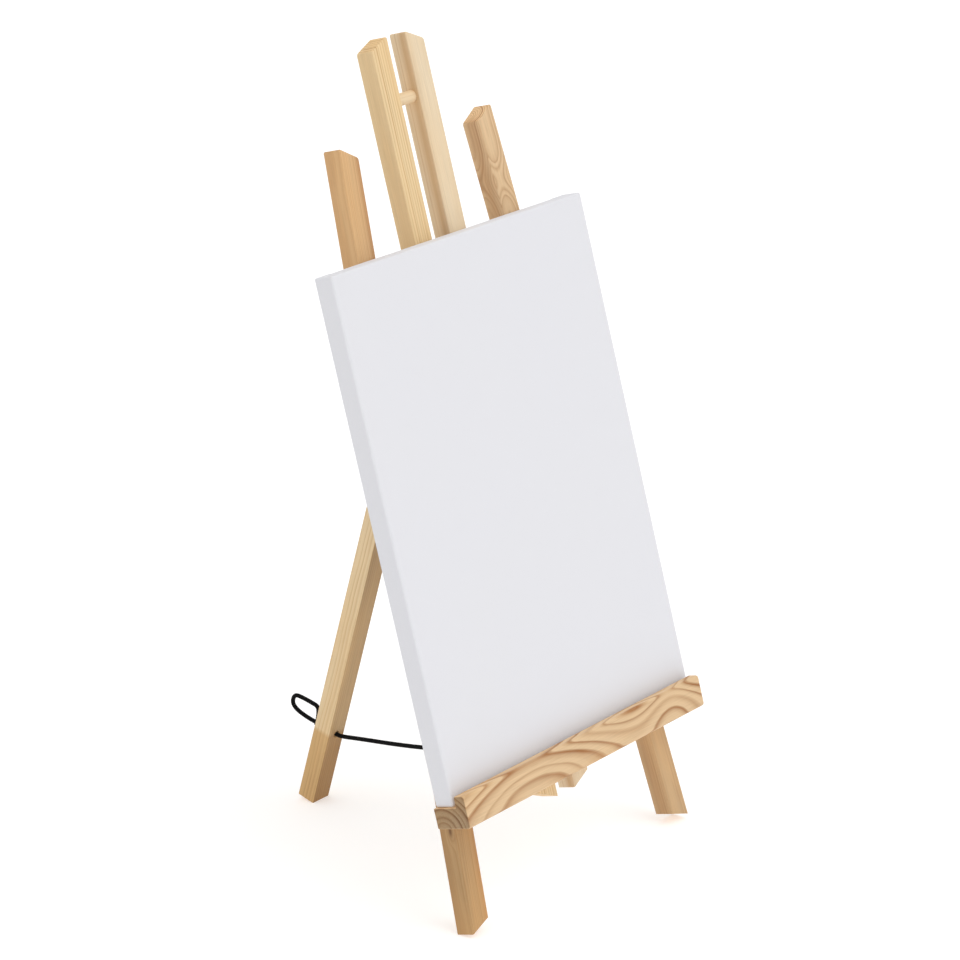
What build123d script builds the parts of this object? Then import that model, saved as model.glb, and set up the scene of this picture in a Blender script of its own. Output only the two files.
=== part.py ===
from build123d import *
import math
import os

# A folding tabletop easel of pine sticks with a stretched canvas standing on its ledge.
# Sizes are in millimetres.  Pieces are first built in the mast frame, which stands upright:
# X to the viewer's right, Y backward, Z up along the mast, Y = 0 on the front faces of the sticks.
# LEAN then tips the mast frame back and puts the origin on the floor at the middle of the footprint.

# Sticks of the frame
stick_width = 20.0
stick_depth = 16.0
edge_radius = 0.9
shoulder_radius = 3.0
tip_radius = 1.5
mitre = 23.0
lean = 14.4

# Mast: two rails with a slot between them for the rear leg
slot_width = 21.0
rail_bottom = 65.0
rail_top = 656.8

# Front legs, given by the outer edge of their front faces
leg_splay = 4.75
leg_top = 587.0
leg_top_half_span = 90.0

# Ledge: one rebated moulding across the front of legs and rails
ledge_length = 300.0
ledge_depth = 31.0
ledge_bottom = 86.0
ledge_shelf = 102.0
ledge_lip_top = 111.0
ledge_lip_width = 10.0
ledge_radius = 1.6

# Braces behind legs and rails
brace_height = 20.0
brace_depth = 10.0
brace_bottom = 400.0
brace_inner = slot_width / 2 + 1.0

# Dowel that ties the rails near their tops
dowel_diameter = 9.5
dowel_socket = 12.0
dowel_height = 608.0
dowel_setback = 7.5

# Rear leg and the bolt it turns on
spread = 31.9
pivot_height = 479.0
pivot_setback = stick_depth / 2 + 0.6
leg_side_gap = 0.5
bolt_diameter = 5.0
bolt_clearance = 0.05
bolt_head_radius = 5.6
bolt_head_height = 3.2
washer_radius = 6.5
washer_thickness = 1.0
nut_across_flats = 8.0
nut_height = 4.0
nut_dome_height = 3.5

# Cord that stops the rear leg from spreading
cord_diameter = 3.5
cord_hole_diameter = 6.2
cord_hole_from_foot = 64.0
eye_height = 108.0
eye_ring_radius = 4.0
eye_wire_radius = 1.0
eye_standoff = 7.0
eye_thread_length = 12.0
tie_loop_radius = 4.0
tie_knot_radius = 3.6
tie_knot_offset = 6.5
stop_knot_radius = 3.8

# Wood screws
screw_radius = 1.6
screw_head_radius = 3.4
screw_head_height = 2.4
ledge_screw_length = 34.0
brace_screw_length = 22.0

# Stretched canvas
canvas_width = 300.0
canvas_height = 400.0
canvas_depth = 17.0
canvas_offset = 2.0
canvas_gap = 0.6
canvas_lift = 0.3
cloth = 0.6
cloth_return = 13.0
bar_width = 34.0
bar_bevel = 2.5
wedge_length = 20.0
wedge_height = 9.0
wedge_thickness = 3.0
staple_crown = 10.0
staple_wire = 0.6
staple_leg = 5.0
staple_proud = 0.3

lean_sin = math.sin(math.radians(lean))
lean_cos = math.cos(math.radians(lean))


def leaned_height(y, z):
    """Height of a mast-frame point above the mast frame's origin, once leaned."""
    return z * lean_cos - y * lean_sin


def leaned_reach(y, z):
    """How far back a mast-frame point lies, once leaned."""
    return z * lean_sin + y * lean_cos


# The mast stands on the lowest corners of its front feet, the rear leg on its front bottom edge.
floor_drop = -leaned_height(stick_depth, 0)
rear_tilt = math.radians(spread - lean)
pivot_drop = leaned_height(pivot_setback, pivot_height) + floor_drop
rear_leg_length = (pivot_drop - stick_depth / 2 * math.sin(rear_tilt)) / math.cos(rear_tilt)

# The footprint runs from the ledge's lower front edge to the back edge of the rear foot.
footprint_front = leaned_reach(-ledge_depth, ledge_bottom)
rear_foot_back = (
    leaned_reach(pivot_setback, pivot_height)
    + rear_leg_length * math.sin(rear_tilt)
    + stick_depth / 2 * math.cos(rear_tilt)
)
centre_shift = -(footprint_front + rear_foot_back) / 2
half_box = (canvas_width / 2 + canvas_offset + ledge_length / 2) / 2
side_shift = -(canvas_width / 2 + canvas_offset - half_box)

LEAN = Pos(side_shift, centre_shift, floor_drop) * Rot(-lean, 0, 0)

# Rear leg frame: origin on the bolt's axis, Z up the leg, Y backward.
REAR = Pos(0, pivot_setback, pivot_height) * Rot(spread, 0, 0)


def block(x0, x1, y0, y1, z0, z1):
    """A plain box between two corners."""
    centre = Pos((x0 + x1) / 2, (y0 + y1) / 2, (z0 + z1) / 2)
    return centre * Box(abs(x1 - x0), abs(y1 - y0), abs(z1 - z0))


def extrude_xz(points, y0, y1):
    """A plate with the given outline in the XZ plane, from y0 to y1."""
    outline = Polyline(*[(x, z) for x, z in points], close=True)
    face = make_face(outline)
    return Pos(0, y1, 0) * Rot(90, 0, 0) * extrude(face, amount=y1 - y0)


def eased(solid, radius=edge_radius):
    """The solid with the edges that run along the stick rounded off."""
    long_edges = solid.edges().sort_by(SortBy.LENGTH)[-4:]
    return fillet(long_edges, radius)


def sanded(outline):
    """A stick with an outline in the XZ plane, sanded round everywhere but at its foot."""
    face = make_face(Polyline(*outline, close=True))
    face = fillet(face.vertices().sort_by(Axis.Y)[-2], shoulder_radius)
    face = fillet(face.vertices().sort_by(Axis.Y)[-1], tip_radius)
    stick = Pos(0, stick_depth, 0) * Rot(90, 0, 0) * extrude(face, amount=stick_depth)
    rims = [edge for edge in stick.edges() if abs((edge @ 0).Y - (edge @ 1).Y) < 0.001]
    foot = min((rim @ 0.5).Z for rim in rims)
    return fillet([rim for rim in rims if (rim @ 0.5).Z > foot + 1], edge_radius)


def mirrored_x(solid):
    return mirror(solid, about=Plane.YZ)


def cylinder_x(radius, x0, x1, y, z):
    return Pos((x0 + x1) / 2, y, z) * Rot(0, 90, 0) * Cylinder(radius, x1 - x0)


def cylinder_y(radius, y0, y1, x, z):
    return Pos(x, (y0 + y1) / 2, z) * Rot(90, 0, 0) * Cylinder(radius, y1 - y0)


def wood_screw(x, z, head_y, length):
    """A countersunk wood screw driven forward from head_y, with a cross recess in its head."""
    half_profile = [
        (0, 0),
        (screw_head_radius, 0),
        (screw_radius, screw_head_height),
        (screw_radius, length - 5),
        (0, length),
    ]
    profile = make_face(Polyline(*half_profile, close=True))
    body = revolve(profile, Axis.Y)
    return Pos(x, head_y, z) * Rot(180, 0, 0) * body


def cross_recess(x, z, head_y):
    """The cross cut into a screw's head."""
    arm = 2.2
    slot = 0.45
    depth = 1.3
    flat = block(x - arm, x + arm, head_y - depth, head_y + 1, z - slot, z + slot)
    upright = block(x - slot, x + slot, head_y - depth, head_y + 1, z - arm, z + arm)
    return flat + upright


# Mast rails and front legs --------------------------------------------------------------

rise = stick_width * math.tan(math.radians(mitre))
rail_inner = slot_width / 2
rail_outer = rail_inner + stick_width
rail_mid = (rail_inner + rail_outer) / 2

splay_slope = math.tan(math.radians(leg_splay))
leg_run = stick_width / math.cos(math.radians(leg_splay))


def leg_outer(z):
    """Distance of a leg's outer edge from the middle, at a height."""
    return leg_top_half_span + splay_slope * (leg_top - z)


def leg_mid(z):
    return leg_outer(z) - leg_run / 2


def on_side(side, outline):
    """An outline drawn for the right side (side 1), or turned over for the left (side -1)."""
    return [(side * x, z) for x, z in outline]


def make_rail(side):
    """A rail: both ends are mitred, the long side is the one at the slot."""
    outline = [
        (rail_inner, rail_bottom),
        (rail_outer, rail_bottom + rise),
        (rail_outer, rail_top - rise),
        (rail_inner, rail_top),
    ]
    return sanded(on_side(side, outline))


def make_leg(side):
    """A front leg: both ends are mitred, the long side is the outer one."""
    top_cut = leg_run * math.tan(math.radians(mitre + leg_splay))
    foot_cut = leg_run * math.tan(math.radians(mitre - leg_splay))
    outline = [
        (leg_outer(0), 0),
        (leg_outer(leg_top), leg_top),
        (leg_outer(leg_top - top_cut) - leg_run, leg_top - top_cut),
        (leg_outer(foot_cut) - leg_run, foot_cut),
    ]
    return sanded(on_side(side, outline))


def make_brace(side):
    """A brace: a flat bar screwed to the backs of a rail and a leg."""
    top = brace_bottom + brace_height
    outline = [
        (brace_inner, brace_bottom),
        (leg_outer(brace_bottom) - 1, brace_bottom),
        (leg_outer(top) - 1, top),
        (brace_inner, top),
    ]
    return eased(extrude_xz(on_side(side, outline), stick_depth, stick_depth + brace_depth))


left_rail = make_rail(-1)
right_rail = make_rail(1)
left_leg = make_leg(-1)
right_leg = make_leg(1)
left_brace = make_brace(-1)
right_brace = make_brace(1)

# Ledge ----------------------------------------------------------------------------------


def make_ledge():
    """A rebated moulding: a shelf for the picture and a low lip in front of it."""
    half = ledge_length / 2
    shelf = block(-half, half, -ledge_depth, 0, ledge_bottom, ledge_shelf)
    lip_back = -ledge_depth + ledge_lip_width
    lip = block(-half, half, -ledge_depth, lip_back, ledge_shelf - 1, ledge_lip_top)
    moulding = shelf + lip
    front_edges = moulding.edges().filter_by(Axis.X).group_by(Axis.Y)[0]
    moulding = fillet(front_edges, ledge_radius * 1.5)
    lip_edge = moulding.edges().filter_by(Axis.X).sort_by(Axis.Z)[-1]
    moulding = fillet(lip_edge, ledge_radius)
    end_edges = moulding.edges().filter_by(Plane.YZ).group_by(Axis.Y)[0]
    return fillet(end_edges, ledge_radius * 0.8)


ledge = make_ledge()

# Dowel between the rails ----------------------------------------------------------------

dowel_reach = slot_width / 2 + dowel_socket
top_dowel = cylinder_x(dowel_diameter / 2, -dowel_reach, dowel_reach, dowel_setback, dowel_height)
top_dowel = chamfer(top_dowel.edges().filter_by(GeomType.CIRCLE), 0.6)
right_rail -= top_dowel
left_rail -= top_dowel

# Pivot bolt, washers and cap nut --------------------------------------------------------

washer_hole = bolt_diameter / 2
left_face = -rail_outer - washer_thickness
right_face = rail_outer + washer_thickness
bolt_end = right_face + nut_height + 1.5


def make_bolt():
    """A domed machine screw through both rails, with a slot across its head."""
    shank = cylinder_x(bolt_diameter / 2, left_face - 0.5, bolt_end, pivot_setback, pivot_height)
    head_start = left_face - bolt_head_height
    head = cylinder_x(bolt_head_radius, head_start, left_face, pivot_setback, pivot_height)
    rim = head.edges().filter_by(GeomType.CIRCLE).sort_by(Axis.X)[0]
    head = fillet(rim, bolt_head_height * 0.85)
    slot = block(
        head_start - 1, head_start + 1.2,
        pivot_setback - 8, pivot_setback + 8,
        pivot_height - 0.5, pivot_height + 0.5,
    )
    return shank + head - slot


def make_washer(x0):
    disc = cylinder_x(washer_radius, x0, x0 + washer_thickness, pivot_setback, pivot_height)
    hole = cylinder_x(washer_hole, x0 - 1, x0 + 2, pivot_setback, pivot_height)
    return disc - hole


def make_cap_nut():
    """A hexagonal nut with a closed dome over the bolt's end."""
    hexagon = RegularPolygon(nut_across_flats / 2, 6, major_radius=False)
    prism = Pos(right_face, pivot_setback, pivot_height) * Rot(0, 90, 0) * extrude(hexagon, nut_height)
    dome_base = right_face + nut_height
    dome_end = dome_base + nut_dome_height
    dome_radius = nut_across_flats / 2 - 0.2
    dome = cylinder_x(dome_radius, dome_base - 1, dome_end, pivot_setback, pivot_height)
    rim = dome.edges().filter_by(GeomType.CIRCLE).sort_by(Axis.X)[-1]
    return prism + fillet(rim, nut_dome_height * 0.9)


pivot_bolt = make_bolt()
pivot_washers = [make_washer(left_face), make_washer(rail_outer)]
pivot_cap_nut = make_cap_nut() - pivot_bolt
right_rail -= pivot_bolt
left_rail -= pivot_bolt

# Screws ---------------------------------------------------------------------------------

ledge_screw_z = (ledge_bottom + ledge_shelf) / 2
brace_screw_z = brace_bottom + brace_height / 2
brace_back = stick_depth + brace_depth

ledge_screw_places = [
    (-leg_mid(ledge_screw_z), ledge_screw_z),
    (-rail_mid, ledge_screw_z),
    (rail_mid, ledge_screw_z),
    (leg_mid(ledge_screw_z), ledge_screw_z),
]
brace_screw_places = [
    (-leg_mid(brace_screw_z), brace_screw_z),
    (-rail_mid, brace_screw_z),
    (rail_mid, brace_screw_z),
    (leg_mid(brace_screw_z), brace_screw_z),
]

ledge_screws = []
for x, z in ledge_screw_places:
    screw = wood_screw(x, z, stick_depth, ledge_screw_length)
    ledge_screws.append(screw)
brace_screws = []
for x, z in brace_screw_places:
    screw = wood_screw(x, z, brace_back, brace_screw_length)
    brace_screws.append(screw)

left_leg = left_leg - ledge_screws[0] - brace_screws[0]
left_rail = left_rail - ledge_screws[1] - brace_screws[1]
right_rail = right_rail - ledge_screws[2] - brace_screws[2]
right_leg = right_leg - ledge_screws[3] - brace_screws[3]
left_brace = left_brace - brace_screws[0] - brace_screws[1]
right_brace = right_brace - brace_screws[2] - brace_screws[3]
for screw in ledge_screws:
    ledge -= screw

ledge_screws = [
    screw - cross_recess(x, z, stick_depth)
    for screw, (x, z) in zip(ledge_screws, ledge_screw_places)
]
brace_screws = [
    screw - cross_recess(x, z, brace_back)
    for screw, (x, z) in zip(brace_screws, brace_screw_places)
]

# Rear leg -------------------------------------------------------------------------------

rear_half_width = slot_width / 2 - leg_side_gap
rear_half_depth = stick_depth / 2
cord_hole_z = -rear_leg_length + cord_hole_from_foot


def make_rear_leg():
    """A stick with a round upper end about the bolt and a square-cut foot."""
    bar = block(
        -rear_half_width, rear_half_width,
        -rear_half_depth, rear_half_depth,
        -rear_leg_length, 0,
    )
    bar = eased(bar)
    end = cylinder_x(rear_half_depth, -rear_half_width, rear_half_width, 0, 0)
    bolt_hole = cylinder_x(bolt_diameter / 2 + bolt_clearance, -20, 20, 0, 0)
    cord_hole = cylinder_y(cord_hole_diameter / 2, -20, 20, 0, cord_hole_z)
    return REAR * (bar + end - bolt_hole - cord_hole)


rear_leg = make_rear_leg()

# Screw eye on the back of the left rail ----------------------------------------------------

eye_x = -rail_mid
eye_ring_y = stick_depth + eye_standoff


def make_screw_eye():
    """A ring of wire standing upright on a threaded shank in the rail's back."""
    ring = Pos(eye_x, eye_ring_y, eye_height) * Rot(0, 90, 0) * Torus(eye_ring_radius, eye_wire_radius)
    neck_end = eye_ring_y - eye_ring_radius
    shank = cylinder_y(
        eye_wire_radius, stick_depth - eye_thread_length, neck_end, eye_x, eye_height
    )
    return ring + shank


screw_eye = make_screw_eye()
left_rail -= cylinder_y(
    eye_wire_radius, stick_depth - eye_thread_length, stick_depth + 1, eye_x, eye_height
)

# Cord -----------------------------------------------------------------------------------
# The cord is tied to the screw eye, runs back to the rear leg with a slight sag, passes through
# its hole, is stopped there by a knot, and ends in a small stiff loop behind the leg.
# Its route is given on the floor frame, with the origin under the middle of the easel.

cord_route = [
    (-21.3, -75.5, 99.9),
    (-17.6, -34.0, 87.8),
    (-13.0, 6.0, 77.3),
    (-7.7, 46.0, 69.8),
    (-3.7, 82.0, 64.4),
    (-1.0, 109.6, 61.2),
    (-1.0, 126.6, 66.2),
]
loop_route = [
    (-1.5, 131.0, 67.0),
    (-2.1, 142.3, 69.8),
    (-3.2, 154.6, 77.4),
    (-3.8, 151.2, 87.6),
    (-3.0, 141.6, 85.4),
    (-2.2, 132.4, 82.0),
    (-1.4, 129.4, 69.4),
]


def tube(route, label):
    """A round cord along straight runs joined by tangent arcs, with its radii printed."""
    points = [Vector(*point) for point in route]
    radii = []
    for before, corner, after in zip(points, points[1:], points[2:]):
        arriving = corner - before
        leaving = after - corner
        half_turn = math.radians(arriving.get_angle(leaving)) / 2
        shorter = min(arriving.length, leaving.length)
        radii.append(0.45 * shorter / math.tan(half_turn))
    path = FilletPolyline(*points, radius=radii)
    start = Plane(origin=path @ 0, z_dir=path % 0)
    solid = sweep(start * Circle(cord_diameter / 2), path=path)
    section = math.pi * cord_diameter**2 / 4
    ratio = solid.volume / section / path.length
    print(label, "length %.1f mm, volume over section times length %.4f" % (path.length, ratio))
    print("  radii", [round(radius, 1) for radius in radii])
    return solid


def make_cord_tie():
    """The loop of cord round the ring of the screw eye, and the knot that closes it."""
    loop_y = eye_ring_y + tie_loop_radius
    loop = Pos(eye_x, loop_y, eye_height) * Torus(tie_loop_radius, cord_diameter / 2)
    return LEAN * (loop + Pos(eye_x, loop_y + tie_knot_offset, eye_height) * Sphere(tie_knot_radius))


cord_tie = make_cord_tie()
hole_back = Pos(0, rear_half_depth + stop_knot_radius + 0.1, cord_hole_z)
cord_stop_knot = LEAN * REAR * hole_back * Sphere(stop_knot_radius)
cord = tube(cord_route, "cord") - cord_tie - cord_stop_knot
cord_loop = tube(loop_route, "cord loop") - cord_stop_knot

# Stretched canvas -------------------------------------------------------------------------
# Built about its own centre line: X across, Y from the front (negative) to the back, Z up from
# its lower edge.  The bars touch the cloth at their outer rims and slope away from it inward.

canvas_back = -canvas_gap
canvas_front = canvas_back - canvas_depth
canvas_low = ledge_shelf + canvas_lift
canvas_high = canvas_low + canvas_height
half_width = canvas_width / 2
bar_half_width = half_width - cloth
bar_low = canvas_low + cloth
bar_high = canvas_high - cloth
bar_front = canvas_front + cloth
bar_back = canvas_back - cloth
AT_CANVAS = Pos(canvas_offset, 0, 0)


def make_cloth():
    """The cloth: front, four sides, and a narrow strip turned over onto the back."""
    outside = block(-half_width, half_width, canvas_front, canvas_back, canvas_low, canvas_high)
    outside = fillet(outside.edges(), 1.2)
    inside = block(-bar_half_width, bar_half_width, bar_front, bar_back, bar_low, bar_high)
    window = block(
        -half_width + cloth_return, half_width - cloth_return,
        bar_back - 1, canvas_back + 1,
        canvas_low + cloth_return, canvas_high - cloth_return,
    )
    return outside - inside - window


def bar_section(outer, inner):
    """Section of a bar in the plane across it: full depth at the rim, bevelled inward."""
    return [
        (outer, bar_front),
        (inner, bar_front + bar_bevel),
        (inner, bar_back),
        (outer, bar_back),
    ]


def make_upright_bar():
    """The right stretcher bar, mitred at both ends."""
    section = bar_section(bar_half_width, bar_half_width - bar_width)
    face = make_face(Polyline(*section, close=True))
    bar = Pos(0, 0, bar_low) * extrude(face, amount=bar_high - bar_low)
    inner = bar_half_width - bar_width
    mitred = [
        (bar_half_width, bar_low),
        (bar_half_width, bar_high),
        (inner, bar_high - bar_width),
        (inner, bar_low + bar_width),
    ]
    return bar & extrude_xz(mitred, canvas_front, canvas_back)


def make_level_bar():
    """The lower stretcher bar, mitred at both ends."""
    section = bar_section(bar_low, bar_low + bar_width)
    outline = [(y, z) for z, y in section]
    face = Plane.YZ * make_face(Polyline(*outline, close=True))
    bar = Pos(-bar_half_width, 0, 0) * extrude(face, amount=2 * bar_half_width)
    mitred = [
        (-bar_half_width, bar_low),
        (bar_half_width, bar_low),
        (bar_half_width - bar_width, bar_low + bar_width),
        (-bar_half_width + bar_width, bar_low + bar_width),
    ]
    return bar & extrude_xz(mitred, canvas_front, canvas_back)


def flipped_z(solid):
    middle = (canvas_low + canvas_high) / 2
    return mirror(solid, about=Plane(origin=(0, 0, middle), z_dir=(0, 0, 1)))


def corner_wedges():
    """Two thin wedges in the inner corner at the lower right, one driven along each bar."""
    corner_x = bar_half_width - bar_width
    corner_z = bar_low + bar_width
    y0 = (bar_front + bar_back) / 2
    y1 = y0 + wedge_thickness
    along = [
        (corner_x + 6, corner_z),
        (corner_x + 6, corner_z + wedge_height * 0.5),
        (corner_x - wedge_length + 6, corner_z + wedge_height),
        (corner_x - wedge_length + 6, corner_z),
    ]
    wedge = extrude_xz(along, y0, y1)
    slope = Plane(origin=(corner_x, 0, corner_z), z_dir=(1, 0, 1))
    other = Pos(0, -wedge_thickness - 1, 0) * mirror(wedge, about=slope)
    return [wedge, other]


def staple(x, z, along_x):
    """A wire staple through the turned-over cloth into a bar; its crown lies along X or Z."""
    half_x = staple_crown / 2 if along_x else staple_wire / 2
    half_z = staple_wire / 2 if along_x else staple_crown / 2
    back = canvas_back + staple_proud
    crown = block(x - half_x, x + half_x, back - staple_wire, back, z - half_z, z + half_z)
    wire = staple_wire
    step_x = staple_crown / 2 - wire / 2 if along_x else 0
    step_z = 0 if along_x else staple_crown / 2 - wire / 2
    for side in (-1, 1):
        leg_x = x + side * step_x
        leg_z = z + side * step_z
        crown += block(
            leg_x - wire / 2, leg_x + wire / 2,
            back - staple_leg, back,
            leg_z - wire / 2, leg_z + wire / 2,
        )
    return crown


def make_staples():
    """Staples along the turned-over strip on all four sides."""
    middle = (canvas_low + canvas_high) / 2
    inset = cloth_return * 0.55
    placed = []
    for side in (-1, 1):
        for x in (-105, -35, 35, 105):
            z = middle + side * (canvas_height / 2 - inset)
            placed.append(staple(x, z, along_x=True))
        for z in (-150, -75, 0, 75, 150):
            x = side * (half_width - inset)
            placed.append(staple(x, middle + z, along_x=False))
    return placed


right_bar = make_upright_bar()
lower_bar = make_level_bar()
wedges = []
for wedge in corner_wedges():
    for raised in (wedge, flipped_z(wedge)):
        wedges.append(raised)
        wedges.append(mirrored_x(raised))
for wedge in wedges:
    right_bar -= wedge
    lower_bar -= wedge
left_bar = mirrored_x(right_bar)
upper_bar = flipped_z(lower_bar)

canvas_cloth = make_cloth()
staples = make_staples()
bars = [lower_bar, upper_bar, left_bar, right_bar]
for one in staples:
    canvas_cloth -= one
    bars = [bar - one for bar in bars]

# Every piece in its place ------------------------------------------------------------------

mast_nodes = {
    "left_rail": left_rail,
    "right_rail": right_rail,
    "left_leg": left_leg,
    "right_leg": right_leg,
    "left_brace": left_brace,
    "right_brace": right_brace,
    "ledge": ledge,
    "top_dowel": top_dowel,
    "pivot_bolt": pivot_bolt,
    "pivot_washers": pivot_washers,
    "pivot_cap_nut": pivot_cap_nut,
    "ledge_screws": ledge_screws,
    "brace_screws": brace_screws,
    "screw_eye": screw_eye,
    "rear_leg": rear_leg,
}
canvas_nodes = {
    "canvas_cloth": canvas_cloth,
    "stretcher_lower_bar": bars[0],
    "stretcher_upper_bar": bars[1],
    "stretcher_left_bar": bars[2],
    "stretcher_right_bar": bars[3],
    "corner_wedges": wedges,
    "canvas_staples": staples,
}


def placed(place, piece):
    """A piece, or a group of separate pieces, moved to its place."""
    if isinstance(piece, list):
        return Compound([solid for one in piece for solid in (place * one).solids()])
    return place * piece


nodes = {name: placed(LEAN, piece) for name, piece in mast_nodes.items()}
nodes.update({name: placed(LEAN * AT_CANVAS, piece) for name, piece in canvas_nodes.items()})
nodes["cord"] = cord
nodes["cord_tie"] = cord_tie
nodes["cord_stop_knot"] = cord_stop_knot
nodes["cord_loop"] = cord_loop

os.makedirs("parts", exist_ok=True)
for name, piece in nodes.items():
    export_step(piece, f"parts/{name}.step")
print("pivot", (LEAN * Pos(0, pivot_setback, pivot_height)).position)
print("nodes", len(nodes))
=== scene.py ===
import bmesh
import bpy
import math
from mathutils import Matrix, Vector, noise


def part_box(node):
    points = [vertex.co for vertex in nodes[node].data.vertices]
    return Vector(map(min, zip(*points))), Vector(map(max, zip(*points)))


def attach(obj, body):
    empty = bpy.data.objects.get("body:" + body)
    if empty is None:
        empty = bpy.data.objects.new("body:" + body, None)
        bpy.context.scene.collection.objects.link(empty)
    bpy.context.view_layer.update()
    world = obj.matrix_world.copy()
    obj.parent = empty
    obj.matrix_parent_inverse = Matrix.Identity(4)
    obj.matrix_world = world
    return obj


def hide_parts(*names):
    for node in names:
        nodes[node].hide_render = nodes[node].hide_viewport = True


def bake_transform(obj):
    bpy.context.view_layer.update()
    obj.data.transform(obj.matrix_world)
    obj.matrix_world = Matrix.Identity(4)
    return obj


# A pine tabletop easel with a stretched canvas on its ledge.  Everything is in metres, in the
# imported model's frame.  MM turns the CAD's millimetres into metres.

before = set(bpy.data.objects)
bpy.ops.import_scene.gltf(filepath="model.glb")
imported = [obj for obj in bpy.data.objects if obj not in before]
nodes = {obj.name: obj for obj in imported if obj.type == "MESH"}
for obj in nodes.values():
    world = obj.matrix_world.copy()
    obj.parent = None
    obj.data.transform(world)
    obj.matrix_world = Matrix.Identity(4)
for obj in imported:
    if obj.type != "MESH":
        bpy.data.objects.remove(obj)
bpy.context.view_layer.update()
MM = 0.001

# The mast frame: X to the viewer's right, Y backward, Z up along the mast.
lean = math.radians(14.4)
leg_splay_degrees = 4.75
rear_tilt = math.radians(31.9 - 14.4)
dowel_in_mast = Vector((0, 7.5, 608)) * MM


def middle_of(node):
    low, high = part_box(node)
    return (low + high) / 2


lean_turn = Matrix.Rotation(-lean, 4, "X")
mast_origin = middle_of("top_dowel") - lean_turn @ dowel_in_mast
MAST = Matrix.Translation(mast_origin) @ lean_turn
PIVOT = middle_of("pivot_washers")

# Camera ---------------------------------------------------------------------------------

camera_place = Vector((-2.1469, -1.7430, 1.2014))
camera_right = Vector((0.61507, -0.78815, -0.02252))
camera_up = Vector((0.25878, 0.17480, 0.94999))
camera_back = camera_right.cross(camera_up)

camera = bpy.data.objects.new("camera", bpy.data.cameras.new("camera"))
camera.data.sensor_width = 36
camera.data.lens = 142.4
camera.data.clip_end = 100
turn = Matrix((camera_right, camera_up, camera_back)).transposed()
camera.matrix_world = Matrix.Translation(camera_place) @ turn.to_4x4()
bpy.context.scene.collection.objects.link(camera)
bpy.context.scene.camera = camera

# Meshes ---------------------------------------------------------------------------------


def mesh_object(name, mesh_data, smooth=True):
    """A scene object from a bmesh, which is used up."""
    mesh = bpy.data.meshes.new(name)
    mesh_data.to_mesh(mesh)
    mesh_data.free()
    made = bpy.data.objects.new(name, mesh)
    bpy.context.scene.collection.objects.link(made)
    if smooth:
        mesh.polygons.foreach_set("use_smooth", [True] * len(mesh.polygons))
    return made


def evenly(points, step, closed=False):
    """Points at an even step along a line of points."""
    line = list(points)
    if closed:
        line.append(line[0])
    lengths = [(b - a).length for a, b in zip(line, line[1:])]
    total = sum(lengths)
    count = max(2, round(total / step))
    spaced = []
    index = 0
    passed = 0.0
    for number in range(count + (0 if closed else 1)):
        wanted = total * number / count
        while index < len(lengths) - 1 and passed + lengths[index] < wanted:
            passed += lengths[index]
            index += 1
        share = (wanted - passed) / max(lengths[index], 1e-9)
        spaced.append(line[index].lerp(line[index + 1], min(share, 1.0)))
    return spaced


BRAID_STEP = 0.3 * MM
BRAID_SIDES = 28
BRAID_STRANDS = 4
BRAID_PITCH = 7.0 * MM
BRAID_DEPTH = 0.13


def braid_height(around, along):
    """Relief of a round braid from 0 to 1: two families of strands that pass over and under."""
    first = BRAID_STRANDS * (around / (2 * math.pi) + along / BRAID_PITCH)
    second = BRAID_STRANDS * (around / (2 * math.pi) - along / BRAID_PITCH)
    over = (math.floor(first) + math.floor(second)) % 2
    across = first if over else second
    crest = second if over else first
    rounded = math.sin(math.pi * (across % 1.0))
    rise = math.sin(math.pi * (crest % 1.0))
    return rounded ** 0.6 * (0.55 + 0.45 * rise)


def braid_tube(mesh_data, points, radius, closed=False):
    """Adds a braided cord along a line of points to a bmesh."""
    line = evenly(points, BRAID_STEP, closed)
    count = len(line)
    normal = None
    rings = []
    along = 0.0
    for index, point in enumerate(line):
        if closed:
            ahead = line[(index + 1) % count]
            behind = line[index - 1]
        else:
            ahead = line[min(index + 1, count - 1)]
            behind = line[max(index - 1, 0)]
        direction = (ahead - behind).normalized()
        if normal is None:
            normal = direction.orthogonal().normalized()
        normal = (normal - direction * normal.dot(direction)).normalized()
        side = direction.cross(normal)
        if index:
            along += (point - line[index - 1]).length
        ring = []
        for number in range(BRAID_SIDES):
            around = 2 * math.pi * number / BRAID_SIDES
            relief = braid_height(around, along)
            reach = radius * (1 - BRAID_DEPTH + BRAID_DEPTH * relief)
            spoke = normal * math.cos(around) + side * math.sin(around)
            ring.append(mesh_data.verts.new(point + spoke * reach))
        rings.append(ring)
    pairs = list(zip(rings, rings[1:]))
    if closed:
        pairs.append((rings[-1], rings[0]))
    for low, high in pairs:
        for number in range(BRAID_SIDES):
            after = (number + 1) % BRAID_SIDES
            mesh_data.faces.new((low[number], low[after], high[after], high[number]))
    if not closed:
        mesh_data.faces.new(list(reversed(rings[0])))
        mesh_data.faces.new(rings[-1])


# Cords ----------------------------------------------------------------------------------
# The routes are in millimetres.  They follow the CAD's, within 5 mm at the hole and in the loop.

CORD_RADIUS = 1.82 * MM

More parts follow.
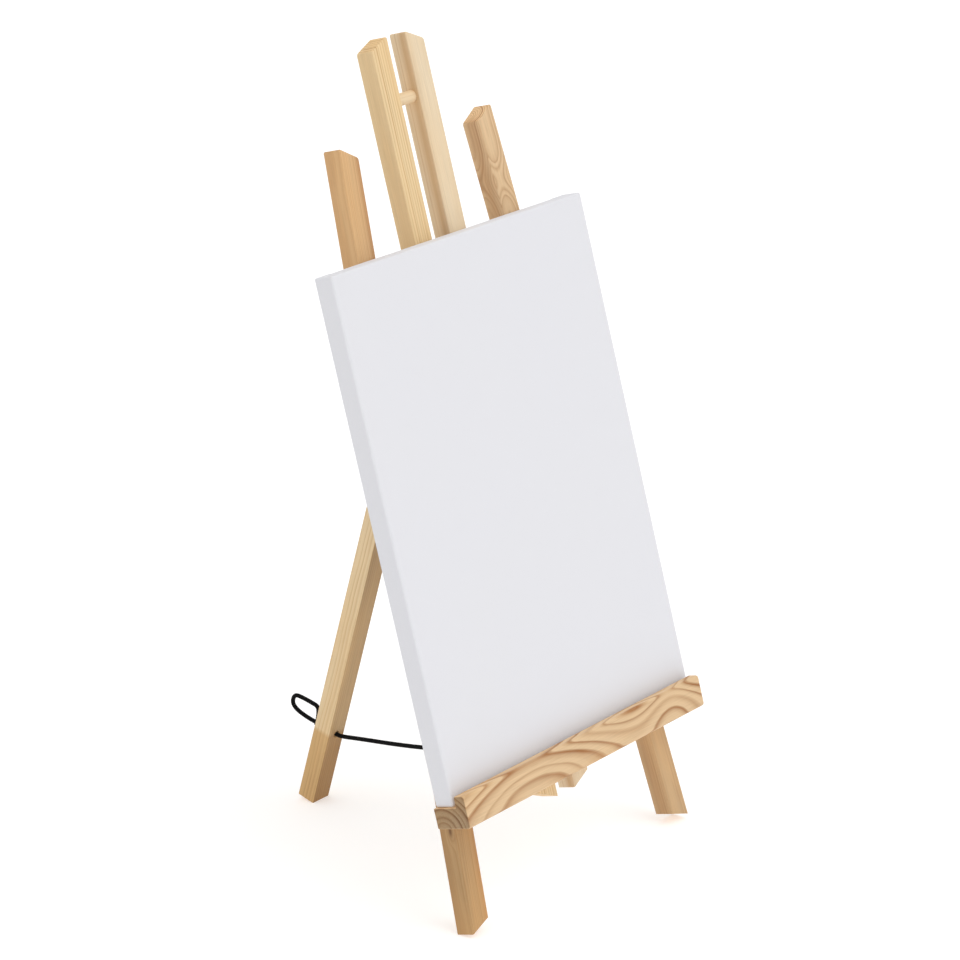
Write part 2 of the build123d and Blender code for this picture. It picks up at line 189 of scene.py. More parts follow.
cord_route = [
    (-21.3, -75.5, 99.9),
    (-17.6, -34.0, 87.8),
    (-13.0, 6.0, 77.3),
    (-7.7, 46.0, 69.8),
    (-3.7, 82.0, 64.4),
    (-1.2, 104.0, 60.6),
    (-1.0, 110.4, 60.9),
    (-1.0, 126.6, 66.0),
]
loop_route = [
    (-1.5, 131.0, 67.0),
    (-2.1, 142.3, 69.8),
    (-3.2, 154.6, 77.4),
    (-3.8, 151.2, 87.6),
    (-3.0, 142.5, 86.0),
    (-2.6, 134.0, 83.6),
    (-2.2, 127.6, 81.6),
    (-1.8, 127.8, 75.0),
    (-1.4, 129.4, 69.4),
]


def nurbs_points(route):
    """Points of the smooth line that has the route as its control points."""
    curve = bpy.data.curves.new("route", "CURVE")
    curve.dimensions = "3D"
    curve.resolution_u = 24
    spline = curve.splines.new("NURBS")
    spline.points.add(len(route) - 1)
    for control, place in zip(spline.points, route):
        control.co = (place[0] * MM, place[1] * MM, place[2] * MM, 1)
    spline.order_u = 3
    spline.use_endpoint_u = True
    holder = bpy.data.objects.new("route", curve)
    bpy.context.scene.collection.objects.link(holder)
    graph = bpy.context.evaluated_depsgraph_get()
    mesh = bpy.data.meshes.new_from_object(holder.evaluated_get(graph))
    points = [vertex.co.copy() for vertex in mesh.vertices]
    bpy.data.objects.remove(holder)
    bpy.data.meshes.remove(mesh)
    return points


def cord_object(name, route):
    points = nurbs_points(route)
    mesh_data = bmesh.new()
    braid_tube(mesh_data, points, CORD_RADIUS)
    return mesh_object(name, mesh_data), points


def overhand(size, centre, axis, turned=0.0):
    """The closed line of a pulled-tight overhand knot, flat across the axis."""
    upright = axis.to_track_quat("Z", "Y").to_matrix()
    line = []
    for number in range(96):
        angle = 2 * math.pi * number / 96
        x = math.sin(angle) + 1.6 * math.sin(2 * angle)
        y = math.cos(angle) - 1.6 * math.cos(2 * angle)
        z = -1.1 * math.sin(3 * angle)
        place = Vector((x, y, z)) * size
        place.rotate(Matrix.Rotation(turned, 3, "Z"))
        line.append(centre + upright @ place)
    return line


def circle_line(centre, radius, axis):
    upright = axis.to_track_quat("Z", "Y").to_matrix()
    line = []
    for number in range(72):
        angle = 2 * math.pi * number / 72
        line.append(centre + upright @ Vector((math.cos(angle), math.sin(angle), 0)) * radius)
    return line


KNOT_SIZE = 0.86 * MM
KNOT_STRAND = 1.45 * MM

cord, cord_path = cord_object("cord_line", cord_route)
loop, loop_path = cord_object("cord_tail_loop", loop_route)

leg_back = Vector((0, math.cos(rear_tilt), math.sin(rear_tilt)))
knot_data = bmesh.new()
braid_tube(
    knot_data,
    overhand(KNOT_SIZE, middle_of("cord_stop_knot"), leg_back, 0.5),
    KNOT_STRAND,
    closed=True,
)
stop_knot = mesh_object("cord_end_knot", knot_data)

eye_in_mast = Vector((-20.5, 23.0, 108.0)) * MM
tie_loop_radius = 4.0 * MM
tie_knot_offset = 6.5 * MM
tie_centre = MAST @ (eye_in_mast + Vector((0, tie_loop_radius, 0)))
tie_knot_centre = MAST @ (eye_in_mast + Vector((0, tie_loop_radius + tie_knot_offset, 0)))
mast_up = (lean_turn @ Vector((0, 0, 1))).normalized()
tie_data = bmesh.new()
braid_tube(tie_data, circle_line(tie_centre, tie_loop_radius, mast_up), CORD_RADIUS, closed=True)
braid_tube(tie_data, overhand(KNOT_SIZE, tie_knot_centre, mast_up), KNOT_STRAND, closed=True)
tie = mesh_object("cord_eye_tie", tie_data)

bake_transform(cord)
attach(loop, "rear_leg")
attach(stop_knot, "rear_leg")
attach(tie, "easel_frame")
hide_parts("cord")
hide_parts("cord_loop")
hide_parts("cord_stop_knot")
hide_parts("cord_tie")

# Stretched cloth --------------------------------------------------------------------------

canvas_width = 300 * MM
canvas_height = 400 * MM
canvas_depth = 17 * MM
canvas_middle = Vector((2.0, -17.6, 302.3)) * MM
front_radius = 1.8 * MM
back_radius = 1.2 * MM
cloth_return = 13 * MM
cloth_thickness = 0.5 * MM
pleat_rise = 0.28 * MM
slack_rise = 0.14 * MM
CLOTH_FROM_EDGE = (
    0, 0.6, 1.4, 2.4, 3.6, 5, 6.5, 8, 9.5, 11, 12.5, 14, 15.2, 16.2, 17.2, 18.4, 20, 23, 28,
)
CLOTH_STEP = 9 * MM
MERGE_DISTANCE = 0.004 * MM


def graded(reach):
    """Places from -reach to reach, close together near both ends."""
    near = [distance * MM for distance in CLOTH_FROM_EDGE]
    inner = reach - near[-1]
    steps = max(2, round(2 * inner / CLOTH_STEP))
    middle = [-inner + 2 * inner * number / steps for number in range(1, steps)]
    low = [-reach + distance for distance in near]
    high = [reach - distance for distance in reversed(near)]
    return low + middle + high


def smoothstep(value):
    value = min(max(value, 0.0), 1.0)
    return value * value * (3 - 2 * value)


def cloth_profile():
    """From the front's edge over the side to the turned-over strip: outward, depth, normal."""
    profile = []
    for number in range(1, 7):
        angle = math.pi / 2 * number / 6
        out = front_radius * math.sin(angle)
        depth = front_radius * (1 - math.cos(angle))
        profile.append((out, depth, math.sin(angle), -math.cos(angle)))
    straight = canvas_depth - front_radius - back_radius
    for number in range(1, 17):
        depth = front_radius + straight * number / 16
        profile.append((front_radius, depth, 1.0, 0.0))
    for number in range(1, 6):
        angle = math.pi / 2 * number / 5
        out = front_radius - back_radius * (1 - math.cos(angle))
        depth = canvas_depth - back_radius * (1 - math.sin(angle))
        profile.append((out, depth, math.cos(angle), math.sin(angle)))
    strip = cloth_return - back_radius
    for number in range(1, 9):
        out = front_radius - back_radius - strip * number / 8
        profile.append((out, canvas_depth, 0.0, 1.0))
    return profile


def cloth_columns(xs, zs):
    """Columns round the rim, as a grid index and an outward direction, with fans at corners."""
    last_x = len(xs) - 1
    last_z = len(zs) - 1
    sides = [
        ([(i, 0) for i in range(last_x + 1)], -90),
        ([(last_x, j) for j in range(last_z + 1)], 0),
        ([(i, last_z) for i in range(last_x, -1, -1)], 90),
        ([(0, j) for j in range(last_z, -1, -1)], 180),
    ]
    columns = []
    for indices, degrees in sides:
        for index in indices:
            columns.append((index, math.radians(degrees)))
        for number in range(1, 5):
            columns.append((indices[-1], math.radians(degrees + 18 * number)))
    return columns


def make_cloth():
    """One sheet: the front, the sides, the folded corners and the strip turned onto the back."""
    half_x = canvas_width / 2 - front_radius
    half_z = canvas_height / 2 - front_radius
    xs = graded(half_x)
    zs = graded(half_z)
    mesh_data = bmesh.new()
    place = MAST @ Matrix.Translation(canvas_middle)

    def vertex(x, depth, z):
        return mesh_data.verts.new(place @ Vector((x, depth, z)))

    grid = [[vertex(x, 0, z) for z in zs] for x in xs]
    for i in range(len(xs) - 1):
        for j in range(len(zs) - 1):
            corners = (grid[i][j], grid[i + 1][j], grid[i + 1][j + 1], grid[i][j + 1])
            mesh_data.faces.new(corners)

    profile = cloth_profile()
    rows = []
    for (i, j), angle in cloth_columns(xs, zs):
        base_x = xs[i]
        base_z = zs[j]
        out_x = math.cos(angle)
        out_z = math.sin(angle)
        at_corner = i in (0, len(xs) - 1) and j in (0, len(zs) - 1)
        row = [grid[i][j]]
        for out, depth, outward, backward in profile:
            if out >= 0:
                x = base_x + out * out_x
                z = base_z + out * out_z
            elif at_corner:
                x = base_x + out * math.copysign(1, base_x)
                z = base_z + out * math.copysign(1, base_z)
            else:
                x = max(-half_x - out, min(half_x + out, base_x + out * round(out_x)))
                z = max(-half_z - out, min(half_z + out, base_z + out * round(out_z)))
            from_corner = half_x - abs(base_x)
            fold = smoothstep((depth - from_corner) / (1.1 * MM)) * out_z * out_z
            ripple = noise.noise(Vector((x * 22, z * 22, depth * 30)))
            loose = smoothstep(depth / (6 * MM))
            rise = pleat_rise * fold + slack_rise * ripple * loose
            if backward > 0.5:
                rise = min(max(rise, 0), 0.3 * MM)
            x += rise * outward * out_x
            z += rise * outward * out_z
            row.append(vertex(x, depth + rise * backward, z))
        rows.append(row)
    for row, after in zip(rows, rows[1:] + rows[:1]):
        for low in range(len(row) - 1):
            ring = [row[low], after[low], after[low + 1], row[low + 1]]
            corners = list(dict.fromkeys(ring))
            mesh_data.faces.new(corners)
    bmesh.ops.remove_doubles(mesh_data, verts=mesh_data.verts, dist=MERGE_DISTANCE)
    bmesh.ops.dissolve_degenerate(mesh_data, edges=mesh_data.edges, dist=MERGE_DISTANCE)
    bmesh.ops.recalc_face_normals(mesh_data, faces=mesh_data.faces)
    front = max(mesh_data.faces, key=lambda face: face.calc_area())
    if front.normal.y > 0:
        bmesh.ops.reverse_faces(mesh_data, faces=mesh_data.faces)
    made = mesh_object("canvas_skin", mesh_data)
    thicken = made.modifiers.new("thickness", "SOLIDIFY")
    thicken.thickness = cloth_thickness
    thicken.offset = -1
    return made


cloth = make_cloth()
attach(cloth, "canvas")
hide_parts("canvas_cloth")

# Materials ------------------------------------------------------------------------------


class Graph:
    """Short ways to add shader nodes and join them."""

    def __init__(self, name):
        self.material = bpy.data.materials.new(name)
        self.material.use_nodes = True
        self.tree = self.material.node_tree
        self.tree.nodes.clear()
        self.shader = self.add("ShaderNodeBsdfPrincipled")
        output = self.add("ShaderNodeOutputMaterial")
        self.tree.links.new(self.shader.outputs["BSDF"], output.inputs["Surface"])

    def add(self, kind, **settings):
        node = self.tree.nodes.new(kind)
        for name, value in settings.items():
            setattr(node, name, value)
        return node

    def feed(self, socket, value):
        """A number, a colour or another node's output goes into a socket."""
        if isinstance(value, bpy.types.NodeSocket):
            self.tree.links.new(value, socket)
        elif isinstance(socket.default_value, (float, int)):
            socket.default_value = value
        else:
            length = len(socket.default_value)
            socket.default_value = (*value, 1.0)[:length]

    def set(self, **values):
        """Sets the shader's own sockets; an underscore stands for a space."""
        for name, value in values.items():
            self.feed(self.shader.inputs[name.replace("_", " ")], value)

    def math(self, operation, first, second=0.0):
        node = self.add("ShaderNodeMath", operation=operation)
        self.feed(node.inputs[0], first)
        self.feed(node.inputs[1], second)
        return node.outputs[0]

    def vector(self, operation, first, second=(0, 0, 0)):
        node = self.add("ShaderNodeVectorMath", operation=operation)
        self.feed(node.inputs[0], first)
        self.feed(node.inputs[1], second)
        return node.outputs["Value" if operation == "DOT_PRODUCT" else 0]

    def place(self, matrix):
        """Coordinates in a piece's own frame, in metres, from where the piece is at rest."""
        coordinates = self.add("ShaderNodeTexCoord")
        mapping = self.add("ShaderNodeMapping", vector_type="TEXTURE")
        self.feed(mapping.inputs["Vector"], coordinates.outputs["Object"])
        mapping.inputs["Location"].default_value = matrix.to_translation()
        mapping.inputs["Rotation"].default_value = matrix.to_euler("XYZ")
        return mapping.outputs[0]

    def split(self, value):
        return self.add_fed("ShaderNodeSeparateXYZ", {0: value}).outputs

    def join(self, x, y, z):
        return self.add_fed("ShaderNodeCombineXYZ", {0: x, 1: y, 2: z}).outputs[0]

    def add_fed(self, kind, values, **settings):
        node = self.add(kind, **settings)
        for index, value in values.items():
            self.feed(node.inputs[index], value)
        return node

    def noise(self, where, stretch, detail=2.0, output=0):
        """Noise with its cells stretched: stretch is cells per metre along X, Y and Z."""
        scaled = self.vector("MULTIPLY", where, stretch)
        values = {"Vector": scaled, "Scale": 1.0, "Detail": detail}
        return self.add_fed("ShaderNodeTexNoise", values).outputs[output]

    def ramp(self, value, stops):
        node = self.add("ShaderNodeValToRGB")
        self.feed(node.inputs[0], value)
        elements = node.color_ramp.elements
        while len(elements) < len(stops):
            elements.new(0.5)
        for element, (position, level) in zip(elements, stops):
            element.position = position
            element.color = (level, level, level, 1)
        return self.math("MULTIPLY", node.outputs["Color"], 1.0)

    def mix(self, share, first, second, blend="MIX"):
        node = self.add("ShaderNodeMix", data_type="RGBA", blend_type=blend)
        self.feed(node.inputs["Factor"], share)
        self.feed(node.inputs[6], first)
        self.feed(node.inputs[7], second)
        return node.outputs[2]

    def bump(self, height, strength, distance):
        values = {"Height": height, "Strength": strength, "Distance": distance}
        self.set(Normal=self.add_fed("ShaderNodeBump", values).outputs[0])


def linear(red, green, blue):
    """A colour given as display values from 0 to 255, in scene values."""
    values = [channel / 255 for channel in (red, green, blue)]
    return tuple(v / 12.92 if v <= 0.04045 else ((v + 0.055) / 1.055) ** 2.4 for v in values)


def wood(
    name,
    matrix,
    pith,
    spacing,
    early,
    late,
    warp=2.0,
    strength=0.6,
    phase_shift=0.0,
    domes=(),
    knots=(),
    resin_and_shade_streaks=(),
    lower=None,
    painted_shade_tone=None,
    end_shade=0.94,
    seed=0.0,
):
    """Pine.  The piece's own Z runs along the grain.  Rings lie about the pith, which is at
    (x, y) from the stick's axis.  Sizes are in millimetres.  A dome (centre, width, height)
    lifts the rings along the grain; a knot is (x, y, z, radius, darkness); a streak (x, y,
    width, strength) darkens towards the late tone: a thin one is a dark line of resin, and one
    centred just outside a side face is painted shade over that side; lower is (z, tone),
    darker towards the bottom, below z; the tone given for the side towards -Y is painted
    shade on that side; end_shade is how light the cut ends are."""
    graph = Graph(name)
    where = graph.place(matrix)
    shifted = graph.vector("ADD", where, (seed, seed * 0.7, seed * 1.3))
    bend = graph.noise(shifted, (16, 16, 9), 2.0, output=1)
    bend = graph.vector("SUBTRACT", bend, (0.5, 0.5, 0.5))
    bend = graph.vector("MULTIPLY", bend, (warp * MM * 2,) * 3)
    wobble = graph.noise(shifted, (160, 160, 45), 3.0, output=1)
    wobble = graph.vector("SUBTRACT", wobble, (0.5, 0.5, 0.5))
    wobble = graph.vector("MULTIPLY", wobble, (0.5 * MM,) * 3)
    moved = graph.vector("ADD", graph.vector("ADD", where, bend), wobble)
    x, y, z = graph.split(moved)
    from_x = graph.math("SUBTRACT", x, pith[0] * MM)
    from_y = graph.math("SUBTRACT", y, pith[1] * MM)
    squares = graph.math("ADD", graph.math("POWER", from_x, 2.0), graph.math("POWER", from_y, 2.0))
    distance = graph.math("SQRT", squares)
    for centre, width, height in domes:
        off = graph.math("DIVIDE", graph.math("SUBTRACT", z, centre * MM), width * MM)
        bell = graph.math("EXPONENT", graph.math("MULTIPLY", graph.math("POWER", off, 2.0), -1.0))
        distance = graph.math("ADD", distance, graph.math("MULTIPLY", bell, height * MM))
    dark_heart = None
    for knot_x, knot_y, knot_z, radius, darkness in knots:
        centre = (knot_x * MM, knot_y * MM, knot_z * MM)
        away = graph.vector("SUBTRACT", moved, centre)
        away = graph.vector("MULTIPLY", away, (1, 1, 0.42))
        length = graph.add_fed("ShaderNodeVectorMath", {0: away}, operation="LENGTH")
        near = graph.math("DIVIDE", length.outputs["Value"], radius * MM)
        squared = graph.math("POWER", near, 2.0)
        bell = graph.math("EXPONENT", graph.math("MULTIPLY", squared, -0.5))
        distance = graph.math("ADD", distance, graph.math("MULTIPLY", bell, 2.2 * spacing * MM))
        heart = graph.math("EXPONENT", graph.math("MULTIPLY", squared, -2.2))
        heart = graph.math("MULTIPLY", heart, darkness)
        dark_heart = heart if dark_heart is None else graph.math("MAXIMUM", dark_heart, heart)
    phase = graph.math("ADD", graph.math("DIVIDE", distance, spacing * MM), phase_shift)
    uneven = graph.noise(graph.join(phase, seed, 0.0), (0.9, 1, 1), 0.0)
    phase = graph.math("ADD", phase, graph.math("MULTIPLY", uneven, 1.1))
    within = graph.math("FRACT", phase)
    ring = graph.math("FLOOR", phase)
    stops = [(0.0, 0.3), (0.06, 0.0), (0.42, 0.05), (0.68, 0.4), (0.86, 1.0), (1.0, 0.45)]
    band = graph.ramp(within, stops)
    each = graph.add_fed("ShaderNodeTexWhiteNoise", {"W": ring}, noise_dimensions="1D")
    weight = graph.math("ADD", graph.math("MULTIPLY", each.outputs["Value"], 0.6), 0.4)
    band = graph.math("MULTIPLY", band, weight)
    fading = graph.noise(shifted, (60, 60, 22), 2.0)
    fading = graph.math("ADD", graph.math("MULTIPLY", fading, 0.9), 0.55)
    band = graph.math("MULTIPLY", band, fading)

    normal = graph.add("ShaderNodeTexCoord").outputs["Normal"]
    axis = matrix.to_3x3() @ Vector((0, 0, 1))
    facing = graph.math("ABSOLUTE", graph.vector("DOT_PRODUCT", normal, axis))
    cut = graph.ramp(facing, [(0.55, 0.0), (0.8, 1.0)])

    along = graph.noise(shifted, (1500, 1500, 26), 3.0)
    across = graph.noise(shifted, (2600, 2600, 900), 2.0)
    fibre = graph.mix(cut, along, across)
    fibre = graph.math("MULTIPLY", fibre, 1.0)
    flecks = graph.ramp(graph.noise(shifted, (900, 900, 40), 1.0), [(0.66, 0.0), (0.74, 1.0)])
    tint = graph.noise(shifted, (30, 30, 6), 2.0)

    tone = graph.math("MULTIPLY", band, strength)
    colour = graph.mix(tone, early, late)
    # Darker towards the bottom: below z the colour is multiplied by the given tone.
    if lower is not None:
        share = graph.math("DIVIDE", graph.math("SUBTRACT", z, lower[0] * MM), -4 * MM)
        share = graph.ramp(share, [(0.0, 0.0), (1.0, 1.0)])
        colour = graph.mix(share, colour, graph.mix(1.0, colour, lower[1], "MULTIPLY"))
    # Painted shade: the side towards -Y is darkened by the given tone.
    if painted_shade_tone is not None:
        front = matrix.to_3x3() @ Vector((0, -1, 0))
        share = graph.ramp(graph.vector("DOT_PRODUCT", normal, front), [(0.6, 0.0), (0.9, 1.0)])
        colour = graph.mix(share, colour, graph.mix(1.0, colour, painted_shade_tone, "MULTIPLY"))
    # Resin lines; a streak centred just outside a side face is painted shade over that side.
    for streak_x, streak_y, width, streak_strength in resin_and_shade_streaks:
        off_x = graph.math("SUBTRACT", x, streak_x * MM)
        off_y = graph.math("SUBTRACT", y, streak_y * MM)
        square_x = graph.math("POWER", off_x, 2.0)
        square_y = graph.math("POWER", off_y, 2.0)
        spread = graph.math("ADD", square_x, square_y)
        bell = graph.math("EXPONENT", graph.math("DIVIDE", spread, -((width * MM) ** 2)))
        bell = graph.math("MULTIPLY", bell, streak_strength)
        colour = graph.mix(bell, colour, late)
    warm = tuple(a * b for a, b in zip(early, (1.0, 0.86, 0.66)))
    colour = graph.mix(graph.ramp(tint, [(0.42, 0.0), (0.75, 0.55)]), colour, warm)
    colour = graph.mix(graph.math("MULTIPLY", flecks, 0.16), colour, late)
    shade = graph.math("ADD", graph.math("MULTIPLY", fibre, 0.34), 0.83)
    speckle = graph.math("ADD", graph.math("MULTIPLY", fibre, 1.1), 0.45)
    shade = graph.mix(cut, shade, speckle)
    colour = graph.mix(1.0, colour, graph.join(shade, shade, shade), "MULTIPLY")
    light_end = (end_shade, end_shade * 0.96, end_shade * 0.9)
    dark_end = (end_shade * 0.68, end_shade * 0.56, end_shade * 0.44)
    end_tone = graph.mix(graph.math("MULTIPLY", band, 0.8), light_end, dark_end)
    colour = graph.mix(cut, colour, graph.mix(1.0, colour, end_tone, "MULTIPLY"))
    if dark_heart is not None:
        colour = graph.mix(graph.math("MULTIPLY", dark_heart, 0.85), colour, (0.12, 0.045, 0.016))
    rough = graph.math("ADD", graph.math("MULTIPLY", fibre, 0.18), 0.46)
    fibre_relief = graph.math("MULTIPLY", fibre, 0.7)
    height = graph.math("ADD", fibre_relief, graph.math("MULTIPLY", band, 0.5))
    graph.set(Base_Color=colour, Roughness=rough, Specular_IOR_Level=0.28)
    graph.bump(height, 0.3, 0.04 * MM)
    return graph.material


def canvas_weave():
    """Primed cotton: a plain weave with uneven threads under a thin white ground."""
    graph = Graph("primed_canvas")
    thread = 0.62 * MM
    where = graph.place(MAST)
    uneven = graph.noise(where, (70, 70, 70), 2.0, output=1)
    uneven = graph.vector("SUBTRACT", uneven, (0.5, 0.5, 0.5))
    uneven = graph.vector("MULTIPLY", uneven, (0.35 * MM,) * 3)
    x, y, z = graph.split(graph.vector("ADD", where, uneven))
    warp_at = graph.math("DIVIDE", graph.math("ADD", x, y), thread)
    weft_at = graph.math("DIVIDE", graph.math("ADD", z, y), thread)
    warp = graph.math("SINE", graph.math("MULTIPLY", graph.math("FRACT", warp_at), math.pi))
    weft = graph.math("SINE", graph.math("MULTIPLY", graph.math("FRACT", weft_at), math.pi))
    cells = graph.math("ADD", graph.math("FLOOR", warp_at), graph.math("FLOOR", weft_at))
    over = graph.math("FLOORED_MODULO", cells, 2.0)
    under_weft = graph.math("ADD", graph.math("MULTIPLY", weft, 0.45), 0.55)
    under_warp = graph.math("ADD", graph.math("MULTIPLY", warp, 0.45), 0.55)
    warp_up = graph.math("MULTIPLY", warp, under_weft)
    weft_up = graph.math("MULTIPLY", weft, under_warp)
    chosen = graph.math("MULTIPLY", graph.math("SUBTRACT", weft_up, warp_up), over)
    height = graph.math("ADD", warp_up, chosen)
    slubs = graph.noise(where, (900, 900, 120), 2.0)
    cross_slubs = graph.noise(where, (120, 900, 900), 2.0)
    grain = graph.math("ADD", slubs, cross_slubs)
    clouds = graph.noise(where, (9, 9, 9), 3.0)
    white = linear(222, 222, 226)
    shadow = linear(199, 199, 206)
    colour = graph.mix(graph.ramp(height, [(0.0, 0.55), (0.5, 0.0)]), white, shadow)
    patches = graph.ramp(clouds, [(0.4, 0.0), (0.8, 0.35)])
    colour = graph.mix(patches, colour, linear(220, 220, 222))
    graph.set(Base_Color=colour, Specular_IOR_Level=0.22)
    graph.set(Roughness=graph.math("ADD", graph.math("MULTIPLY", clouds, 0.1), 0.72))
    relief = graph.math("ADD", height, graph.math("MULTIPLY", grain, 0.35))
    graph.bump(relief, 0.3, 0.06 * MM)
    return graph.material


def black_cord():
    """Black polyester yarn: fine matt filaments with a little dust."""
    graph = Graph("black_cord")
    where = graph.add("ShaderNodeTexCoord").outputs["Object"]
    yarn = graph.noise(where, (5200, 2400, 5200), 3.0)
    dust = graph.noise(where, (240, 240, 240), 2.0)
    colour = graph.mix(yarn, linear(1, 1, 1), linear(9, 9, 10))
    colour = graph.mix(graph.ramp(dust, [(0.6, 0.0), (0.9, 0.3)]), colour, linear(18, 18, 19))
    rough = graph.math("ADD", graph.math("MULTIPLY", yarn, 0.2), 0.6)
    graph.set(Base_Color=colour, Roughness=rough, Specular_IOR_Level=0.12)
    graph.bump(yarn, 0.5, 0.08 * MM)
    return graph.material


def zinc(name, tone, stretch):
    """Zinc-plated steel with fine marks and slightly cloudy plating."""
    graph = Graph(name)
    where = graph.add("ShaderNodeTexCoord").outputs["Object"]
    marks = graph.noise(where, stretch, 2.0)
    clouds = graph.noise(where, (380, 380, 380), 3.0)
    darker = tuple(channel * 0.72 for channel in tone)
    graph.set(Base_Color=graph.mix(clouds, tone, darker), Metallic=1.0)
    graph.set(Roughness=graph.math("ADD", graph.math("MULTIPLY", marks, 0.22), 0.24))
    graph.bump(marks, 0.25, 0.02 * MM)
    return graph.material


def paper_floor():
    """A plain pale studio floor with the faintest mottling."""
    graph = Graph("studio_floor")
    where = graph.add("ShaderNodeTexCoord").outputs["Object"]
    mottle = graph.noise(where, (3, 3, 3), 3.0)
    graph.set(Base_Color=graph.mix(mottle, (0.93, 0.93, 0.93), (0.96, 0.96, 0.96)))
    graph.set(Roughness=0.9, Specular_IOR_Level=0.1)
    graph.set(Emission_Color=(1, 1, 1), Emission_Strength=0.15)
    return graph.material


def own_frame(origin, *turns):
    """A frame at a mast-frame origin in millimetres, turned about its own axes in degrees."""
    matrix = MAST @ Matrix.Translation(Vector(origin) * MM)
    for axis, degrees in turns:
        matrix = matrix @ Matrix.Rotation(math.radians(degrees), 4, axis)
    return matrix


# Tones ----------------------------------------------------------------------------------

tan = linear(226, 200, 156)
tan_late = linear(188, 148, 98)
light = linear(223, 204, 174)
pale = linear(224, 200, 160)
pale_late = linear(190, 154, 112)
orange = linear(210, 173, 127)
orange_late = linear(166, 112, 64)
golden = linear(215, 184, 144)
honey_late = linear(152, 98, 50)
cream = linear(226, 205, 172)
cream_late = linear(200, 166, 124)

stick_x = 20.5
leg_top_x = 80.0
leg_origin_z = 587.0

left_rail_frame = own_frame((-stick_x, 8, 656))
right_rail_frame = own_frame((stick_x, 8, 656))
left_leg_frame = own_frame((-leg_top_x, 8, leg_origin_z), ("Y", leg_splay_degrees))
right_leg_frame = own_frame((leg_top_x, 8, leg_origin_z), ("Y", -leg_splay_degrees))
ledge_frame = own_frame((0, -15.5, 98), ("Y", 90))
dowel_frame = own_frame((0, 7.5, 608), ("Y", 90))
rear_frame = Matrix.Translation(PIVOT) @ Matrix.Rotation(rear_tilt, 4, "X")

skins = {
    "left_rail": wood(
        "left_rail_pine", left_rail_frame, (60, 1), 2.6, tan, tan_late,
        # The streak at x -11 is painted shade over the left side face.
        warp=0.9, strength=1.0, resin_and_shade_streaks=[(-11, 0, 7, 0.3)], end_shade=1.05, seed=0.11,
    ),
    "right_rail": wood(
        "right_rail_pine", right_rail_frame, (-4, 58), 2.9, light, pale_late,
        warp=1.6, strength=0.6, resin_and_shade_streaks=[(-10, -4, 4, 0.75)],
        end_shade=1.05, seed=0.37,
    ),
    "left_leg": wood(
        "left_leg_pine", left_leg_frame, (-46, 6), 1.7, orange, orange_late,
        warp=1.3, strength=0.5, knots=[(-10, -3, -511, 2.8, 1.0)], resin_and_shade_streaks=[(9, -8, 3.5, 0.6)],
        lower=(-470, (0.68, 0.65, 0.58)), seed=0.53,
    ),
    "right_leg": wood(
        "right_leg_pine", right_leg_frame, (-3, 6), 1.9, golden, honey_late,
        warp=0.7, strength=0.55, domes=[(-58, 15, 5)], lower=(-470, (0.7, 0.69, 0.68)),
        # The streak at x -11 is painted shade over the left side face.
        resin_and_shade_streaks=[(-11, 0, 6, 0.4)], end_shade=1.15, seed=0.71,
    ),
    "ledge": wood(
        "ledge_pine", ledge_frame, (14, 9.5), 4.5, golden, honey_late,
        warp=1.1, strength=0.95, phase_shift=0.1, domes=[(-70, 112, -26), (110, 36, -11)],
        end_shade=0.54, seed=0.29,
    ),
    "rear_leg": wood(
        "rear_leg_pine", rear_frame, (30, 26), 1.9, pale, tan_late,
        # The tone for the side towards -Y is painted shade on the rear leg's front, which faces
        # forward and down under the canvas.
        warp=1.4, strength=0.65, lower=(-418, (0.78, 0.64, 0.46)), painted_shade_tone=(0.61, 0.54, 0.46),
        seed=0.83,
    ),
    "left_brace": wood(
        "left_brace_pine", own_frame((-60, 21, 410), ("Y", 90)), (6, 34), 2.6, pale, pale_late,
        warp=2.0, strength=0.55, seed=0.17,
    ),
    "right_brace": wood(
        "right_brace_pine", own_frame((60, 21, 410), ("Y", 90)), (-14, 26), 2.3, pale, pale_late,
        warp=2.0, strength=0.55, seed=0.61,
    ),
    "top_dowel": wood(
        "dowel_birch", dowel_frame, (12, 9), 1.3, cream, cream_late,
        warp=0.6, strength=0.35, seed=0.43,
    ),
    "stretcher_lower_bar": wood(
        "lower_bar_fir", own_frame((2, -9, 120), ("Y", 90)), (8, 40), 2.4, cream, cream_late,
        warp=2.0, strength=0.6, seed=0.05,
    ),
    "stretcher_upper_bar": wood(
        "upper_bar_fir", own_frame((2, -9, 485), ("Y", 90)), (-20, 30), 2.2, cream, cream_late,
        warp=2.0, strength=0.6, seed=0.67,
    ),
    "stretcher_left_bar": wood(
        "left_bar_fir", own_frame((-131, -9, 302)), (14, 34), 2.0, cream, cream_late,
        warp=1.8, strength=0.6, seed=0.23,
    ),
    "stretcher_right_bar": wood(
        "right_bar_fir", own_frame((135, -9, 302)), (-30, 22), 2.5, cream, cream_late,
        warp=1.8, strength=0.6, seed=0.79,
    ),
    "corner_wedges": wood(
        "wedge_birch", own_frame((2, -9, 302), ("Y", 90)), (60, 50), 0.9, cream, cream_late,
        warp=0.8, strength=0.4, seed=0.91,
    ),
}
plated = zinc("zinc_plate", (0.62, 0.63, 0.66), (2600, 2600, 2600))
wire = zinc("staple_wire", (0.66, 0.66, 0.68), (4200, 4200, 900))
for name in ("pivot_bolt", "pivot_washers", "pivot_cap_nut", "ledge_screws", "brace_screws"):
    skins[name] = plated
for name in ("screw_eye", "canvas_staples"):
    skins[name] = wire


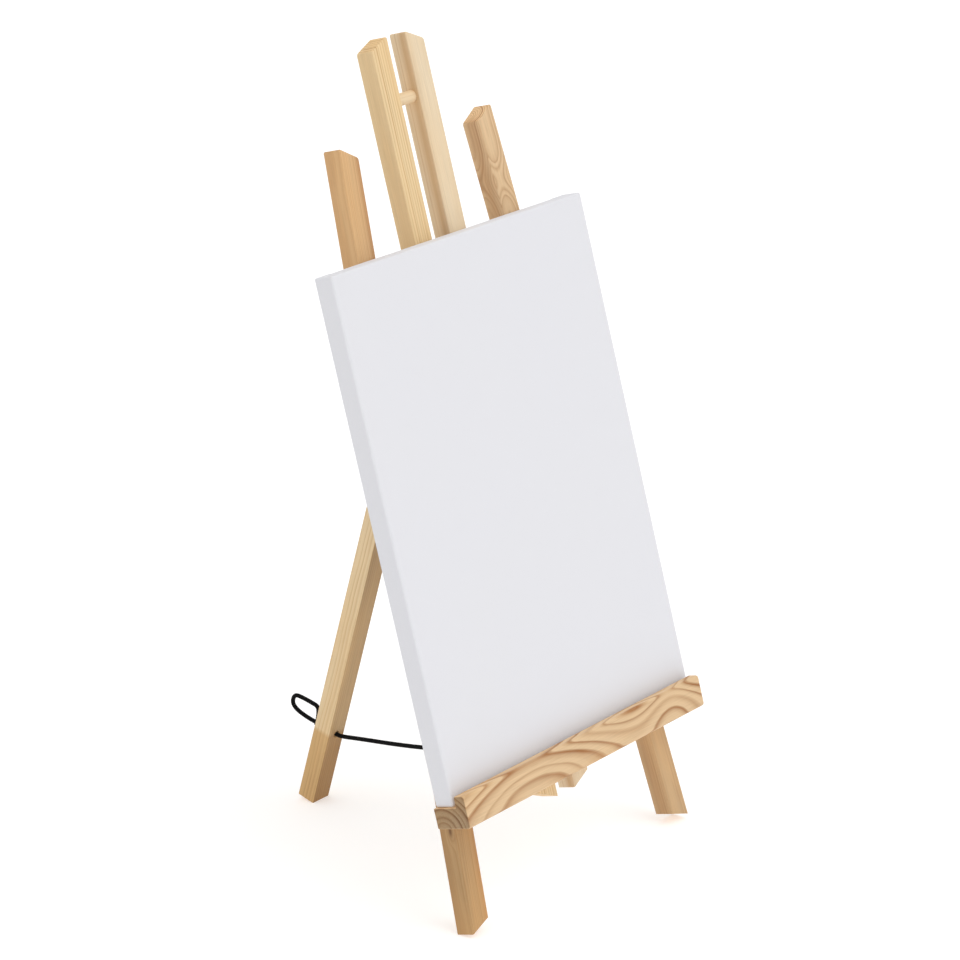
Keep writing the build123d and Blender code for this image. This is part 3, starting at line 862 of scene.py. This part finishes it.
def wear(piece, material):
    """Gives an object one material all over."""
    if not piece.material_slots:
        piece.data.materials.append(material)
    for holder in piece.material_slots:
        holder.material = material


for name, material in skins.items():
    wear(nodes[name], material)
rope = black_cord()
for piece in (cord, loop, stop_knot, tie):
    wear(piece, rope)
wear(cloth, canvas_weave())

# Studio ---------------------------------------------------------------------------------

floor_size = 60.0
floor_data = bmesh.new()
bmesh.ops.create_grid(floor_data, x_segments=4, y_segments=4, size=floor_size / 2)
floor = mesh_object("floor", floor_data, smooth=False)
wear(floor, paper_floor())

horizon_strength = 1.0
sky_strength = 0.46
world = bpy.data.worlds.new("studio")
world.use_nodes = True
backdrop = world.node_tree.nodes["Background"]
backdrop.inputs["Color"].default_value = (1.0, 1.0, 1.0, 1.0)
direction = world.node_tree.nodes.new("ShaderNodeTexCoord")
split = world.node_tree.nodes.new("ShaderNodeSeparateXYZ")
fall = world.node_tree.nodes.new("ShaderNodeMapRange")
fall.interpolation_type = "SMOOTHSTEP"
for socket, value in (
    ("From Min", math.sin(math.radians(6))),
    ("From Max", math.sin(math.radians(26))),
    ("To Min", horizon_strength),
    ("To Max", sky_strength),
):
    fall.inputs[socket].default_value = value
world.node_tree.links.new(direction.outputs["Generated"], split.inputs["Vector"])
world.node_tree.links.new(split.outputs["Z"], fall.inputs["Value"])
world.node_tree.links.new(fall.outputs["Result"], backdrop.inputs["Strength"])
bpy.context.scene.world = world


def soft_sun(name, towards, strength, spread, shadow=True):
    """A very wide sun: soft light from one direction, even over the whole floor."""
    light = bpy.data.lights.new(name, "SUN")
    light.energy = strength
    light.use_shadow = shadow
    light.angle = math.radians(spread)
    lamp = bpy.data.objects.new(name, light)
    lamp.rotation_mode = "QUATERNION"
    lamp.rotation_quaternion = Vector(towards).to_track_quat("Z", "Y")
    bpy.context.scene.collection.objects.link(lamp)


soft_sun("key", (0.1, -0.70, 0.66), 0.62, 50)
soft_sun("overhead", (0, 0, 1), 1.4, 80, shadow=False)
bpy.context.scene.view_settings.view_transform = "Standard"
